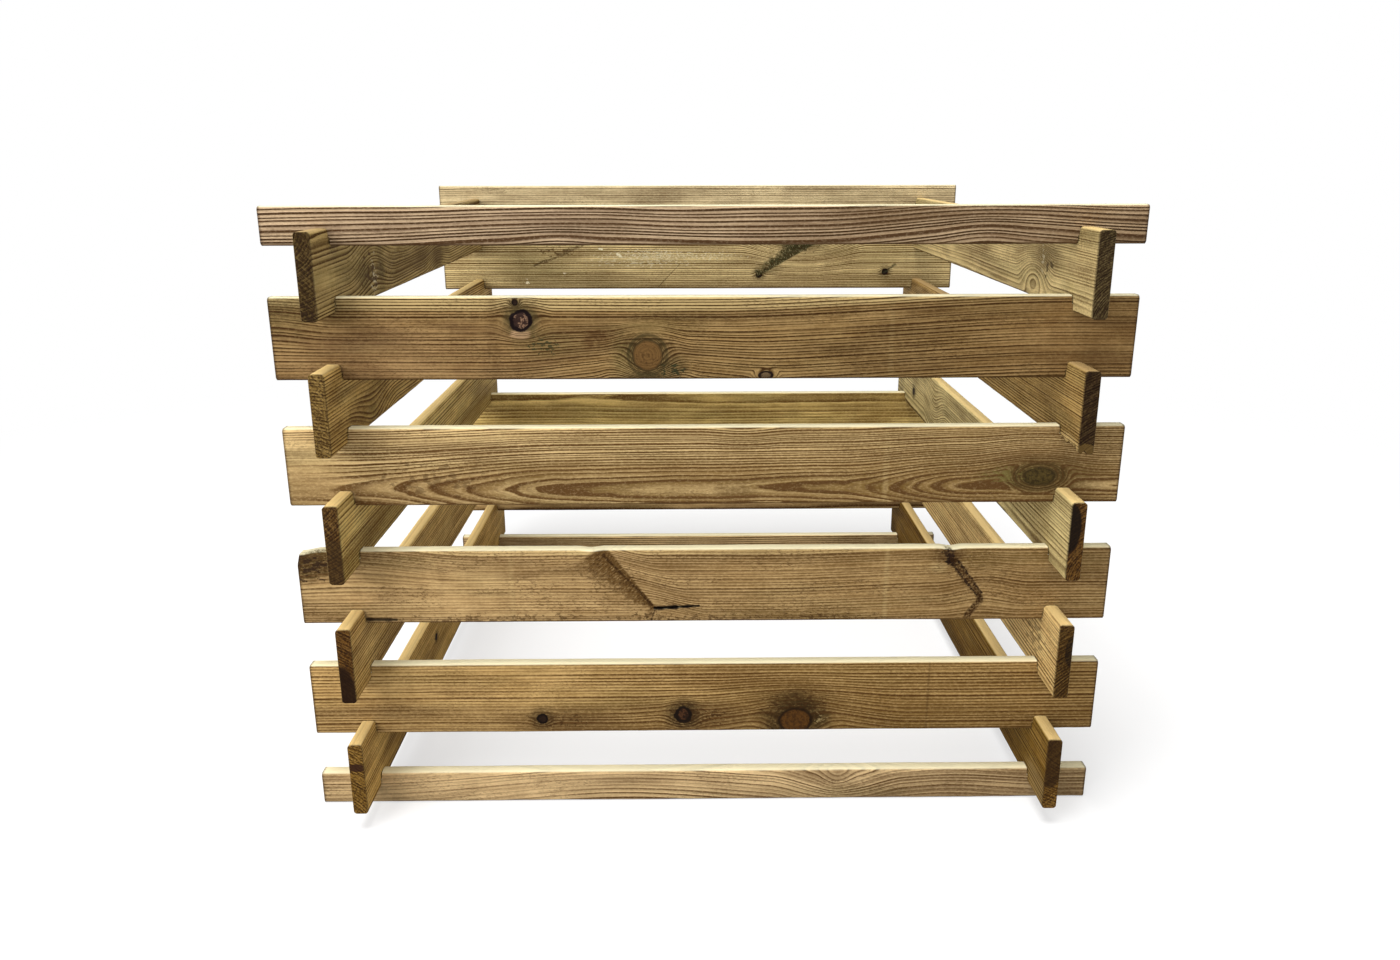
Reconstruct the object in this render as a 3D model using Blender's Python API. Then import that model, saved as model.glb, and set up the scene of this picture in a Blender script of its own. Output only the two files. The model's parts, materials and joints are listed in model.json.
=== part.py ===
"""A slot-together slatted compost bin, open above and below.

Twenty-two softwood boards stand on edge in eleven courses. The front and back boards lie
along X and the side boards along Y, course about, and every crossing is a cross-lap: a
notch in the top edge of the lower board takes a notch in the bottom edge of the upper
one. Nothing but their weight and these notches holds the boards, so the bin is taken
apart by lifting them off from the top.

Metres, +Z up, front towards -Y. The origin is on the ground below the middle of the bin.
"""

import math

import bmesh
import bpy
from mathutils import Matrix, Vector

# Driving dimensions.
END_BOARD_LENGTH = 1.000
SIDE_BOARD_LENGTH = 1.000
BOARD_THICKNESS = 0.018
BOARD_HEIGHT = 0.097
HALF_BOARD_HEIGHT = 0.044
STUB_LENGTH = 0.059
NOTCH_DEPTH = 0.010
ARRIS_RADIUS = 0.0035
SIDE_COURSES = 5

# Clearances of the cross-laps: beside the crossing board, and between floor and floor.
NOTCH_PLAY = 0.001
SEAT_GAP = 0.0003

# How finely the arrises are rounded, and how far a cutter runs past the faces it cuts.
ARRIS_SEGMENTS = 4
CUTTER_MARGIN = 0.005
SMOOTH_BELOW = math.radians(40)

# What follows from them.
COURSES = 2 * SIDE_COURSES + 1
NOTCH_WIDTH = BOARD_THICKNESS + 2 * NOTCH_PLAY
LAP = 2 * NOTCH_DEPTH - SEAT_GAP
END_BOARD_Y = SIDE_BOARD_LENGTH / 2 - STUB_LENGTH - BOARD_THICKNESS / 2
SIDE_BOARD_X = END_BOARD_LENGTH / 2 - STUB_LENGTH - BOARD_THICKNESS / 2

# Pressure-treated pine, as linear colour and roughness. Each board has its own tone.
TONES = {
    "straw": ((0.56, 0.40, 0.19), 0.72),
    "honey": ((0.47, 0.31, 0.14), 0.74),
    "olive": ((0.36, 0.27, 0.11), 0.78),
    "umber": ((0.24, 0.15, 0.06), 0.80),
}
BOARD_TONES = {
    "front": ("honey", "straw", "honey", "straw", "honey", "umber"),
    "back": ("straw", "honey", "straw", "honey", "olive", "straw"),
    "left": ("olive", "honey", "straw", "olive", "honey"),
    "right": ("honey", "straw", "umber", "honey", "olive"),
}


def clear_scene():
    """Removes what the file opens with."""
    for thing in list(bpy.data.objects):
        bpy.data.objects.remove(thing, do_unlink=True)


def wood(name, tone):
    """A plain timber material in one of the tones."""
    colour, roughness = TONES[tone]
    material = bpy.data.materials.new(name)
    material.use_nodes = True
    shader = material.node_tree.nodes["Principled BSDF"]
    shader.inputs["Base Color"].default_value = (*colour, 1.0)
    shader.inputs["Roughness"].default_value = roughness
    shader.inputs["Metallic"].default_value = 0.0
    material.diffuse_color = (*colour, 1.0)
    return material


def add_box(shape, low, high):
    """Adds a box between two corners to a bmesh and returns its edges."""
    low = Vector(low)
    high = Vector(high)
    place = Matrix.Translation((low + high) / 2) @ Matrix.Diagonal((*(high - low), 1.0))
    made = bmesh.ops.create_cube(shape, size=1.0, matrix=place)
    return {edge for vertex in made["verts"] for edge in vertex.link_edges}


def finish_mesh(shape, name):
    """Turns a bmesh into a mesh with its faces pointing out."""
    bmesh.ops.recalc_face_normals(shape, faces=shape.faces)
    mesh = bpy.data.meshes.new(name)
    shape.to_mesh(mesh)
    shape.free()
    return mesh


def planed_bar(name, length, height):
    """A board before notching: sawn square at its ends, its four long arrises rounded."""
    shape = bmesh.new()
    half = length / 2
    side = BOARD_THICKNESS / 2
    edges = add_box(shape, (-half, -side, 0), (half, side, height))
    along = [e for e in edges if abs(e.verts[0].co.x - e.verts[1].co.x) > side]
    bmesh.ops.bevel(
        shape,
        geom=along,
        offset=ARRIS_RADIUS,
        segments=ARRIS_SEGMENTS,
        profile=0.5,
        affect="EDGES",
    )
    return finish_mesh(shape, name)


def notch_cutter(name, crossings, height, above, below):
    """Boxes that cut a notch at each crossing, in the top edge, the bottom edge or both."""
    shape = bmesh.new()
    reach = BOARD_THICKNESS / 2 + CUTTER_MARGIN
    spans = []
    if above:
        spans.append((height - NOTCH_DEPTH, height + CUTTER_MARGIN))
    if below:
        spans.append((-CUTTER_MARGIN, NOTCH_DEPTH))
    for centre in crossings:
        for bottom, top in spans:
            low = (centre - NOTCH_WIDTH / 2, -reach, bottom)
            high = (centre + NOTCH_WIDTH / 2, reach, top)
            add_box(shape, low, high)
    cutter = bpy.data.objects.new(name, finish_mesh(shape, name))
    cutter.hide_render = True
    cutter.display_type = "WIRE"
    bpy.context.scene.collection.objects.link(cutter)
    return cutter


def notched_board(name, length, height, crossing, above, below):
    """The mesh of one kind of board, with its notches at plus and minus crossing.

    It lies along X about the origin, with its bottom edge at Z 0.
    """
    blank = bpy.data.objects.new(name, planed_bar(name + "_blank", length, height))
    bpy.context.scene.collection.objects.link(blank)
    cutter = notch_cutter(name + "_cutter", (-crossing, crossing), height, above, below)
    cut = blank.modifiers.new("notches", "BOOLEAN")
    cut.operation = "DIFFERENCE"
    cut.solver = "EXACT"
    cut.object = cutter
    evaluated = blank.evaluated_get(bpy.context.evaluated_depsgraph_get())
    mesh = bpy.data.meshes.new_from_object(evaluated)
    mesh.name = name
    mesh.shade_smooth()
    mesh.set_sharp_from_angle(angle=SMOOTH_BELOW)
    bpy.data.objects.remove(cutter, do_unlink=True)
    bpy.data.objects.remove(blank, do_unlink=True)
    return mesh


def board_meshes():
    """The four kinds of board that make up the bin."""
    end = (END_BOARD_LENGTH, SIDE_BOARD_X)
    side = (SIDE_BOARD_LENGTH, END_BOARD_Y)
    kinds = {
        "bottom_half": (*end, HALF_BOARD_HEIGHT, True, False),
        "top_half": (*end, HALF_BOARD_HEIGHT, False, True),
        "end_full": (*end, BOARD_HEIGHT, True, True),
        "side_full": (*side, BOARD_HEIGHT, True, True),
    }
    return {
        kind: notched_board(kind, length, height, crossing, above, below)
        for kind, (length, crossing, height, above, below) in kinds.items()
    }


def course_kind(course):
    """Which kind of board a course has, counted from 0 on the ground."""
    if course == 0:
        return "bottom_half"
    if course == COURSES - 1:
        return "top_half"
    return "side_full" if course % 2 else "end_full"


def course_height(course):
    """How tall a course's boards are."""
    return HALF_BOARD_HEIGHT if course in (0, COURSES - 1) else BOARD_HEIGHT


def add_seat(course, below):
    """An empty at the height where a course's boards rest. It carries all that is above it."""
    seat = bpy.data.objects.new(f"course_{course + 1}_seat", None)
    seat.empty_display_size = BOARD_HEIGHT
    if below:
        seat.parent = below
        seat.location = (0, 0, course_height(course - 1) - LAP)
    bpy.context.scene.collection.objects.link(seat)
    return seat


def add_board(wall, number, mesh, seat, place, turn):
    """One board on its course's seat, counted in its wall from the ground up."""
    name = f"{wall}_board_{number}"
    board = bpy.data.objects.new(name, mesh)
    bpy.context.scene.collection.objects.link(board)
    board.parent = seat
    board.location = place
    board.rotation_euler = (0, 0, turn)
    if not mesh.materials:
        mesh.materials.append(None)
    tones = BOARD_TONES[wall]
    board.material_slots[0].link = "OBJECT"
    board.material_slots[0].material = wood(name + "_pine", tones[(number - 1) % len(tones)])
    return board


def stack_bin():
    """Stacks the courses from the ground up, each on the one below."""
    meshes = board_meshes()
    seat = None
    for course in range(COURSES):
        seat = add_seat(course, seat)
        mesh = meshes[course_kind(course)]
        number = course // 2 + 1
        if course % 2:
            add_board("left", number, mesh, seat, (-SIDE_BOARD_X, 0, 0), math.pi / 2)
            add_board("right", number, mesh, seat, (SIDE_BOARD_X, 0, 0), math.pi / 2)
        else:
            add_board("front", number, mesh, seat, (0, -END_BOARD_Y, 0), 0)
            add_board("back", number, mesh, seat, (0, END_BOARD_Y, 0), 0)


clear_scene()
stack_bin()
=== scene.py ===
"""Looks of the slot-together compost bin: pressure-treated pine boards on a pale studio floor.

Every CAD board is replaced by a finer one of the same size, with worn arrises and with its
own wood. A board has its own axes: X along it, Z up, and -Y out of the face that shows, which
is the outer face in front and the inner face of the other three sides. Its wood is a solid
pattern of growth rings round a pith, so faces, edges and ends agree.
"""

import json
import math
from collections import namedtuple

import bmesh
import bpy
import numpy as np
from mathutils import Matrix, Vector, noise


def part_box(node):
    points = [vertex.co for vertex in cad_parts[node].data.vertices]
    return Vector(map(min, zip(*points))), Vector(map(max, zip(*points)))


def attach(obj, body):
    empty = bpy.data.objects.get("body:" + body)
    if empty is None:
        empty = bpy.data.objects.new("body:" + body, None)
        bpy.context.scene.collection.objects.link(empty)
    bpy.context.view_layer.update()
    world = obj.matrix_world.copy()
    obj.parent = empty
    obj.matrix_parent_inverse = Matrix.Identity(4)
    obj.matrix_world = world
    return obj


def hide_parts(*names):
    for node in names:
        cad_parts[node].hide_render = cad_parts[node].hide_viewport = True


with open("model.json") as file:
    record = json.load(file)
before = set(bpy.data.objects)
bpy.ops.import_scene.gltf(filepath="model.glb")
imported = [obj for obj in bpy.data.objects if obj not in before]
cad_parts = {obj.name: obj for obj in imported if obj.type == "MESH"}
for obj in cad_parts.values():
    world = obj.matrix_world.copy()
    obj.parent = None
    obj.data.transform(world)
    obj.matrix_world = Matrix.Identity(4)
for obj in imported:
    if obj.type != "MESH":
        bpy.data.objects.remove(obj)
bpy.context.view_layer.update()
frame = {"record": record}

# Camera, as the photograph was taken.
CAMERA_PLACE = (-0.0186, -1.6126, 0.8143)
CAMERA_YAW = 0.63
CAMERA_PITCH = 15.62
CAMERA_ROLL = 0.1
CAMERA_LENS = 26.29
CAMERA_SENSOR = 36
CAMERA_SHIFT_Y = -0.0256

# Light levels. A strength of 1 is white to the camera.
SKY_LEVEL = 0.52
# Lamps: place, what they point at, width and power.
LAMPS = {
    "key": ((-1.5, -1.9, 1.4), (0, -0.2, 0.35), 1.3, 28),
    "top": ((-1.2, -1.5, 8.0), (0, 0, 0.4), 4.2, 570),
}
# The floor shows shadows up to FLOOR_NEAR from its middle, and is white from FLOOR_FAR on.
FLOOR_SIZE = 60
FLOOR_NEAR = 0.9
FLOOR_FAR = 2.6
FLOOR_GLOW = 0.55
FLOOR_SHADE = 0.42

# The boards' own sizes, as the part has them.
MM = 0.001
NOTCH_PLACE = 432 * MM
NOTCH_WIDTH = 20 * MM
NOTCH_DEPTH = 10 * MM
ARRIS_RADIUS = 3.5 * MM
TOP_COURSE = 6
# How the finer boards are made: their arrises, eased ends, faces and notch cutters.
ARRIS_STEPS = 5
END_EASING = 0.6 * MM
CELL_ALONG = 5 * MM
CELL_ACROSS = 4 * MM
CUT_BEYOND = 5 * MM
SMOOTH_BELOW = math.radians(35)

# Wear in millimetres: on the faces, how much that varies, and what the arrises have more, which varies
# slowly and quickly along them. WORN_REACH is how far from its edge an arris is worn.
FACE_WEAR = 0.10
FACE_WEAR_VARIES = 0.10
ARRIS_WEAR = 0.35
ARRIS_WEAR_VARIES = (0.5, 0.35)
WORN_REACH = 4 * MM
# Splinters, in millimetres: how far up they reach, over what length they begin and end, and how deep
# behind the shown face they end.
SPLINTER_HEIGHT = 12
SPLINTER_RUN_IN = 6
SPLINTER_DEPTH = 18
# How far in front of the face a crack's cutter begins.
CRACK_MOUTH = 1 * MM

# Wood and stain colours in sRGB. CREAM and SIDE_TOP colour tops that are partly painted highlight, and
# OCHRE, SHADE, MOSS and STRAW also make painted shade and light on some boards.
CREAM = (244, 235, 196)
STRAW = (206, 180, 124)
OCHRE = (108, 77, 24)
RESIN = (236, 226, 190)
MOSS = (92, 92, 52)
DARK_MOSS = (50, 52, 32)
SHADE = (84, 62, 36)
TORN = (64, 41, 19)
BARK = (46, 31, 22)
SIDE_TOP = (222, 192, 130)
INK = (24, 18, 14)

# A kind of knot: its colours and how strong its parts are. rim_from and shade_reach are in knot radii.
KnotKind = namedtuple("KnotKind", (
    "heart", "blot", "rim", "rim_strength", "rim_from", "blotched", "ragged",
    "shade", "shade_strength", "shade_reach", "arcs"))
KNOTS = {
    "tan": KnotKind(
        (116, 86, 48), (82, 58, 31), (58, 44, 24), 0.50, 0.84, 0.20, 0.30, (56, 48, 26), 0.26, 2.1, 0.95),
    "brown": KnotKind(
        (94, 61, 26), (66, 42, 20), (36, 24, 13), 0.90, 0.76, 0.45, 0.25, (48, 35, 17), 0.85, 2.7, 0.40),
    "red": KnotKind(
        (84, 54, 34), (38, 25, 18), (26, 18, 13), 0.95, 0.56, 0.60, 0.80, (46, 32, 17), 0.85, 2.9, 0.30),
    "dead": KnotKind(
        (142, 110, 86), (34, 20, 20), (22, 13, 13), 1.00, 0.56, 0.80, 0.75, (66, 60, 36), 0.50, 2.1, 0.40),
    "dark": KnotKind(
        (44, 30, 22), (32, 22, 16), (24, 16, 12), 1.00, 0.60, 0.50, 0.80, (56, 40, 20), 0.70, 3.2, 0.10),
    "eye": KnotKind(
        (112, 92, 66), (66, 50, 34), (32, 22, 17), 1.00, 0.56, 0.30, 0.40, (84, 64, 34), 0.30, 1.7, 0.10),
    "green": KnotKind(
        (86, 71, 37), (56, 45, 25), (46, 36, 20), 0.60, 0.74, 0.50, 0.60, (66, 52, 27), 0.60, 2.5, 0.85),
}
# How far apart a knot's rings are, where the knot's radius is 1.
KNOT_RING = 0.10

# Fine patterns: what they follow, how many fit in a metre along, across and up, their own seed, how many
# layers of detail they have and how rough they are.
PATTERNS = {
    "mottle": ("grain", (14, 70, 70), 1, 3.0, 0.6),
    "shade": ("grain", (5, 30, 30), 6, 3.0, 0.5),
    "green": ("board", (4, 26, 26), 2, 3.0, 0.6),
    "fibre": ("grain", (12, 640, 640), 4, 3.0, 0.6),
    "grit": ("board", (230, 420, 420), 13, 3.0, 0.7),
    "chatter": ("board", (48, 3, 3), 14, 1.0, 0.5),
    "faded": ("grain", (6, 40, 40), 8, 2.0, 0.5),
    "stipple": ("board", (260, 700, 700), 7, 2.0, 0.5),
    "stippled": ("board", (9, 40, 40), 11, 1.0, 0.5),
    "scarred": ("board", (330, 330, 330), 17, 2.0, 0.6),
    "pores": ("board", (420, 420, 420), 10, 3.0, 0.7),
}
# How many torn fibres and saw marks fit in a metre, and the slant of the saw's cut.
TORN_FIBRES = (560, 170, 1)
SAW_MARKS = (1, 40, 420)
SAW_SLANT = 0.707

# Damage is on the face that shows. It begins and is whole at these depths in the board.
SHOWN_FROM = 3 * MM
SHOWN_WHOLE = -5 * MM
# The dirt at a board's two ends begins and is whole at these distances from its middle.
GRIME_FROM = 496 * MM
GRIME_WHOLE = 499.5 * MM
GRIME_STRENGTH = 0.65
# How deep a stain on a board's end goes, in millimetres.
END_STAIN_DEPTH = 7
GLOSS = 0.04
RELIEF_HEIGHT = 0.6 * MM


def linear(colour):
    """An sRGB colour from 0 to 255 as linear light, with alpha."""
    parts = []
    for part in colour:
        part = part / 255
        parts.append(part / 12.92 if part <= 0.04045 else ((part + 0.055) / 1.055) ** 2.4)
    return (*parts, 1.0)


class Wire:
    """A node's output, to write formulas with."""

    def __init__(self, graph, socket):
        self.graph = graph
        self.socket = socket

    def __add__(self, other):
        return self.graph.math("ADD", self, other)

    def __sub__(self, other):
        return self.graph.math("SUBTRACT", self, other)

    def __rsub__(self, other):
        return self.graph.math("SUBTRACT", other, self)

    def __mul__(self, other):
        return self.graph.math("MULTIPLY", self, other)

    __rmul__ = __mul__


class Graph:
    """Writes formulas as shader nodes. Any argument may be a wire or a plain value."""

    def __init__(self, tree):
        self.tree = tree

    def feed(self, socket, value):
        if isinstance(value, Wire):
            self.tree.links.new(value.socket, socket)
        else:
            socket.default_value = value

    def node(self, kind, inputs, output=0, **settings):
        node = self.tree.nodes.new(kind)
        for name, value in settings.items():
            setattr(node, name, value)
        for key, value in inputs.items():
            self.feed(node.inputs[key], value)
        return Wire(self, node.outputs[output])

    def math(self, operation, *values):
        return self.node("ShaderNodeMath", dict(enumerate(values)), operation=operation)

    def vector(self, operation, *values, output=0):
        return self.node("ShaderNodeVectorMath", dict(enumerate(values)), output, operation=operation)

    def split(self, vector):
        parts = self.tree.nodes.new("ShaderNodeSeparateXYZ")
        self.feed(parts.inputs[0], vector)
        return [Wire(self, output) for output in parts.outputs]

    def join(self, x, y, z):
        return self.node("ShaderNodeCombineXYZ", {0: x, 1: y, 2: z})

    def noise(self, vector, scale, seed, detail, roughness=0.5, output="Fac"):
        place = self.vector("MULTIPLY_ADD", vector, scale, (seed, 1.7 * seed, 2.3 * seed))
        inputs = {"Vector": place, "Scale": 1.0, "Detail": detail, "Roughness": roughness}
        return self.node("ShaderNodeTexNoise", inputs, output)

    def noise_along(self, value, scale, seed):
        inputs = {"W": self.math("MULTIPLY_ADD", value, scale, seed), "Scale": 1.0, "Detail": 1.0}
        return self.node("ShaderNodeTexNoise", inputs, "Fac", noise_dimensions="1D")

    def step(self, value, low, high, to_low=0.0, to_high=1.0):
        """A smooth step from to_low where value is at low to to_high where it is at high."""
        inputs = {0: value, 1: low, 2: high, 3: to_low, 4: to_high}
        return self.node("ShaderNodeMapRange", inputs, interpolation_type="SMOOTHSTEP")

    def mix(self, factor, first, second):
        inputs = {0: factor, 6: first, 7: second}
        return self.node("ShaderNodeMix", inputs, 2, data_type="RGBA")

    def reach(self, vector, centre, size):
        """How far a point is from centre, where size is 1."""
        scale = tuple(1 / part for part in size)
        shift = tuple(-c / part for c, part in zip(centre, size))
        return self.vector("LENGTH", self.vector("MULTIPLY_ADD", vector, scale, shift), output=1)


def in_metres(values):
    return [value * MM for value in values]


def add(name, data):
    """A new object in the scene."""
    thing = bpy.data.objects.new(name, data)
    bpy.context.scene.collection.objects.link(thing)
    return thing


def face_point(place):
    x, z = place
    return Vector((x * MM, 0, z * MM))


def spot(graph, vector, x, z, width, height):
    """Reach from a place on the face, right through the board."""
    return graph.reach(vector, (x * MM, 0, z * MM), (width * MM, 1, height * MM))


def grain_place(graph, wood, place, seed):
    """Where a point lies in a straight-grained tree, before bends and knots moved its grain."""
    x, y, z = graph.split(place)
    moves = ((wood["wander"], (1.4, 9, 9)), (wood["waver"], (6, 24, 24)), (wood["tremble"], (40, 150, 150)))
    for number, (size, scale) in enumerate(moves):
        _, noise_y, noise_z = graph.split(graph.noise(place, scale, seed + 3 * number, 1.0, output="Color"))
        y = y + (noise_y - 0.5) * (2 * size * MM)
        z = z + (noise_z - 0.5) * (2 * size * MM)
    for *where, rise in wood["bends"]:
        z = z - graph.step(spot(graph, place, *where), 0, 1, rise * MM, 0)
    for *where, lift in wood["lifts"]:
        y = y - graph.step(spot(graph, place, *where), 0, 1, lift * MM, 0)
    for start_x, end_x, whole_z, none_z, rise, lift in wood["climbs"]:
        _, _, face_z = graph.split(place)
        weight = graph.step(x, start_x * MM, end_x * MM)
        weight = weight * graph.step(face_z, whole_z * MM, none_z * MM, 1, 0)
        y = y - weight * (lift * MM)
        z = z - weight * (rise * MM)
    for start, end, rise, width in wood["sweeps"]:
        _, across, _ = scar_place(graph, place, start, end)
        weight = graph.step(across, 0, width * MM, 1, 0) * graph.step(across, -1 * MM, 0)
        z = z - weight * (rise * MM)
    for knot_x, knot_z, width, height, _ in wood["knots"]:
        pull = graph.step(spot(graph, place, knot_x, knot_z, 3.4 * width, 2.7 * height), 0, 1, 0.95, 0)
        z = z + (knot_z * MM - z) * pull
        away = spot(graph, place, knot_x, knot_z, 2.4 * width, 2.4 * height)
        y = y - graph.step(away, 0.3, 1, wood["bulge"] * MM, 0)
    return x, y, z


def growth_rings(graph, wood, place, seed):
    """Late wood from 0 to 1, the pale line after it, the faint lines between, and the place in the grain."""
    x, y, z = grain_place(graph, wood, place, seed)
    depth, height = in_metres(wood["pith"])
    depth_lean, height_lean = in_metres(wood["lean"])
    pith_y = graph.math("MULTIPLY_ADD", x, depth_lean, depth)
    pith_z = graph.math("MULTIPLY_ADD", x, height_lean, height)
    away = graph.vector("LENGTH", graph.join(0, y - pith_y, (z - pith_z) * wood["squeeze"]), output=1)
    count = away * (1 / (wood["ring"] * MM))
    count = count + graph.noise_along(count, 0.43, seed) * 1.1
    part = graph.math("FRACT", count)
    late = graph.step(part, 0.42, 0.86) * graph.step(part, 0.91, 1.0, 1, 0)
    early = graph.step(part, 0.0, 0.10) * graph.step(part, 0.12, 0.42, 1, 0)
    faint = graph.step(graph.noise_along(count, 4.7, seed + 21), 0.50, 0.66)
    strength = graph.step(graph.noise_along(count, 0.83, seed + 9), 0.34, 0.60, 0.45, 1.0)
    group = graph.step(graph.noise_along(count, 0.21, seed + 31), 0.36, 0.60, 0.7, 1.2)
    strength = strength * group
    return late * strength, early * strength, faint, graph.join(x, y, z)


def knot_rings(graph, away, reach, seed):
    """The rings in a knot, or the arcs round it, from 0 to 1."""
    waver = graph.noise_along(reach, 5.0, seed) * 0.3
    return graph.math("PINGPONG", away + waver, KNOT_RING) * (1 / KNOT_RING)


def knot_shading(timber, knot, seed):
    """The darker wood round a knot, and the crowded grain lines in it."""
    graph = timber.graph
    *where, name = knot
    kind = KNOTS[name]
    reach = spot(graph, timber.place, *where)
    away = reach + (graph.noise(timber.place, (40, 90, 90), seed + 2, 3.0, 0.6) - 0.5) * 1.6
    halo = graph.step(away, 0.9, kind.shade_reach, kind.shade_strength, 0)
    timber.lay(halo * graph.step(timber.grit, 0.34, 0.58, 0.55, 1.0), linear(kind.shade))
    rings = knot_rings(graph, reach, reach, seed)
    arcs_away = reach * 0.6 + away * 0.4
    arcs = graph.step(rings, 0.35, 0.80) * graph.step(arcs_away, 0.9, 0.4 + 0.8 * kind.shade_reach, 1, 0)
    timber.lay(arcs * kind.arcs, linear(kind.shade))


def knot_body(timber, knot, seed):
    """A knot's own rings, blotches and rim."""
    graph = timber.graph
    *where, name = knot
    kind = KNOTS[name]
    reach = spot(graph, timber.place, *where)
    away = reach + (graph.noise(timber.place, (75, 90, 90), seed, 4.0, 0.65) - 0.5) * kind.ragged
    rings = knot_rings(graph, away, reach, seed)
    blotch = graph.noise(timber.place, (230, 230, 230), seed + 5, 3.0, 0.65)
    blotch_from = 0.60 - 0.22 * kind.blotched
    body = graph.mix(rings * 0.6, linear(kind.heart), linear(kind.blot))
    body = graph.mix(graph.step(blotch, blotch_from, blotch_from + 0.08, 0, 0.9), body, linear(kind.blot))
    timber.lay(graph.step(away, 0.88, 1.06, 1, 0), body)
    edge = graph.step(away, kind.rim_from, kind.rim_from + 0.18) * graph.step(away, 0.98, 1.16, 1, 0)
    timber.lay(edge * kind.rim_strength, linear(kind.rim))


def fleck_mask(graph, place, fleck, seed):
    """Many small ragged specks in a soft round area."""
    *where, size, _, strength = fleck
    scale = 500 / size
    reach = spot(graph, place, *where)
    least = graph.step(reach, 0.1, 1.0, 0.53, 0.66)
    specks = graph.noise(place, (0.6 * scale, scale, scale), seed, 3.0, 0.6)
    return graph.step(specks - least, -0.03, 0.01) * graph.step(reach, 0.75, 1.0, strength, 0)


def patch_mask(graph, place, patch, seed):
    """A soft, ragged patch."""
    *where, _, strength, soft = patch
    away = spot(graph, place, *where) + (graph.noise(place, (45, 160, 160), seed, 3.0, 0.6) - 0.5) * 0.9
    return graph.step(away, 1 - soft, 1 + soft, strength, 0)


def scar_place(graph, place, start, end):
    """How far along a straight scar a point lies, how far to its left, and the scar's length, in metres."""
    start = face_point(start)
    end = face_point(end)
    length = (end - start).length
    forward = (end - start) / length
    side = Vector((-forward.z, 0, forward.x))
    along = graph.vector("DOT_PRODUCT", place, tuple(forward), output=1) - forward.dot(start)
    across = graph.vector("DOT_PRODUCT", place, tuple(side), output=1) - side.dot(start)
    return along, across, length


def scar_reach(graph, place, start, end, ragged, seed):
    """Distance in metres from a straight scar on the face."""
    along, across, length = scar_place(graph, place, start, end)
    beyond = graph.math("MAXIMUM", graph.math("MAXIMUM", -1 * along, along - length), 0)
    away = graph.vector("LENGTH", graph.join(beyond, across, 0), output=1)
    wide = graph.step(graph.noise(place, (55, 55, 55), seed + 1, 1.0), 0.35, 0.65, 1.5, 0.75)
    return away * wide + (graph.noise(place, (240, 240, 240), seed, 3.0, 0.6) - 0.5) * (2 * ragged * MM)


def tear_mask(graph, place, tear, seed):
    """Torn grain to the right of a line, from its first width to its last."""
    start, end, first_width, last_width, _, strength = tear
    along, across, length = scar_place(graph, place, start, end)
    ragged = (graph.noise(place, (130, 130, 130), seed, 4.0, 0.7) - 0.5) * (0.8 * first_width * MM)
    width = graph.step(along, 0, length, first_width * MM, last_width * MM)
    inside = graph.step(across + width + ragged, -2 * MM, width * 0.7)
    inside = inside * graph.step(across, -1 * MM, 2 * MM, 1, 0)
    ends = graph.step(along, -4 * MM, 2 * MM) * graph.step(along, length - 2 * MM, length + 4 * MM, 1, 0)
    return inside * ends * strength


def saw_place(graph, place):
    """A board end's height across and along the marks of the slanting saw cut."""
    _, y, z = graph.split(place)
    return (y + z) * SAW_SLANT, (z - y) * SAW_SLANT


def tints(colour):
    """The pale and the dark wood that go with a board's body colour."""
    pale = [min(255, part + more) for part, more in zip(colour, (46, 44, 36))]
    dark = [part * share for part, share in zip(colour, (0.46, 0.38, 0.29))]
    return linear(pale), linear(colour), linear(dark)


class Timber:
    """One board's wood while its material is built: what the steps share, and the colour so far."""

    def __init__(self, graph, wood, seed):
        coordinates = graph.tree.nodes.new("ShaderNodeTexCoord")
        self.graph = graph
        self.wood = wood
        self.seed = seed
        self.place = Wire(graph, coordinates.outputs["Object"])
        self.facing = graph.split(Wire(graph, coordinates.outputs["Normal"]))
        self.late, self.early, self.faint, grain = growth_rings(graph, wood, self.place, seed)
        self.followed = {"board": self.place, "grain": grain}
        self.place_x, place_y, _ = graph.split(self.place)
        self.shown = graph.step(place_y, SHOWN_FROM, SHOWN_WHOLE)
        self.fibre = self.pattern("fibre")
        self.grit = self.pattern("grit")
        self.pale, self.colour, self.dark = tints(wood["colour"])
        self.relief = 0.0

    def pattern(self, name):
        """One of the fine patterns, from 0 to 1."""
        follows, scale, seed, detail, roughness = PATTERNS[name]
        return self.graph.noise(self.followed[follows], scale, self.seed + seed, detail, roughness)

    def lay(self, strength, tint):
        """Covers the colour so far with a tint."""
        self.colour = self.graph.mix(strength, self.colour, tint)


def clear_wood(timber):
    """The wood under the growth lines: mottled, shaded, a little green, and fibrous."""
    step = timber.graph.step
    timber.lay(step(timber.pattern("mottle"), 0.36, 0.64, 0, 0.50), timber.pale)
    timber.lay(step(timber.pattern("shade"), 0.42, 0.66, 0, 0.60), timber.dark)
    timber.lay(step(timber.pattern("green"), 0.46, 0.70, 0, timber.wood["green"]), linear(MOSS))
    timber.lay(step(timber.fibre, 0.46, 0.66, 0, 0.20), timber.dark)
    timber.lay(step(timber.fibre, 0.50, 0.34, 0, 0.18), timber.pale)
    timber.lay(step(timber.pattern("chatter"), 0.50, 0.66, 0, 0.10), timber.dark)


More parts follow.
